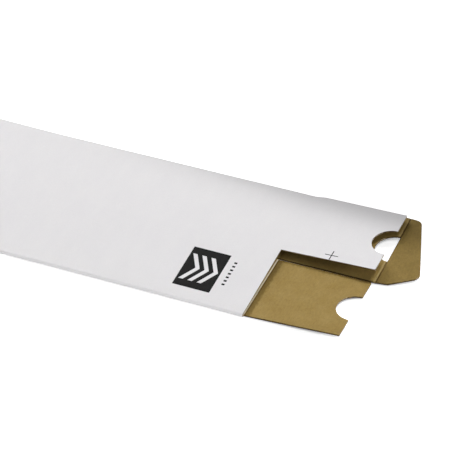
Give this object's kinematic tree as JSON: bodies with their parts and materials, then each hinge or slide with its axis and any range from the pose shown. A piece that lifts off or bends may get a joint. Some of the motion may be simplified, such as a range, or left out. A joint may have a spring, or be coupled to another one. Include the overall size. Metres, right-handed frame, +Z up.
{
  "type": "square cardboard mailing tube, pressed flat",
  "caption": "Square corrugated mailing tube for rolled plans, lying pressed flat, with notched dust flaps and slanted tuck flaps spread at its ends.",
  "frame": {"origin": "middle of the pressed tube, on the surface that it lies on", "axes": "+X along the tube towards the end that the picture shows, +Y towards the back fold, +Z up"},
  "size_m": [0.9116, 0.212, 0.0136],
  "materials": {
    "white_lined_board": "smooth white outer liner, brown kraft inside and corrugated cut edges",
    "brown_board": "bare brown kraft liner, matt, with a white liner on its outer side"
  },
  "bodies": {
    "sleeve": {"sleeve": "white_lined_board"},
    "upper_flap": {"upper_dust_flap": "white_lined_board"},
    "lower_flap": {"lower_dust_flap": "brown_board"},
    "tuck": {"tuck_flap": "brown_board"},
    "far_upper_flap": {"far_upper_dust_flap": "white_lined_board"},
    "far_lower_flap": {"far_lower_dust_flap": "brown_board"},
    "far_tuck": {"far_tuck_flap": "brown_board"}
  },
  "joints": [
    {"name": "upper_flap_crease", "type": "hinge", "parent": "sleeve", "child": "upper_flap", "pos_m": [0.305, 0.055, 0.008], "axis": [0, -1, 0], "range_deg": [0, 87]},
    {"name": "lower_flap_crease", "type": "hinge", "parent": "sleeve", "child": "lower_flap", "pos_m": [0.305, -0.055, 0.0017], "axis": [0, -1, 0], "range_deg": [0, 88]},
    {"name": "tuck_crease", "type": "hinge", "parent": "sleeve", "child": "tuck", "pos_m": [0.415, -0.0025, 0.0029], "axis": [0, -0.9986, -0.0536], "range_deg": [0, 88]},
    {"name": "far_upper_flap_crease", "type": "hinge", "parent": "sleeve", "child": "far_upper_flap", "pos_m": [-0.305, 0.055, 0.008], "axis": [0, 1, 0], "range_deg": [0, 87]},
    {"name": "far_lower_flap_crease", "type": "hinge", "parent": "sleeve", "child": "far_lower_flap", "pos_m": [-0.305, -0.055, 0.0017], "axis": [0, 1, 0], "range_deg": [0, 88]},
    {"name": "far_tuck_crease", "type": "hinge", "parent": "sleeve", "child": "far_tuck", "pos_m": [-0.415, -0.0025, 0.0029], "axis": [0, 0.9986, 0.0536], "range_deg": [0, 88]}
  ]
}
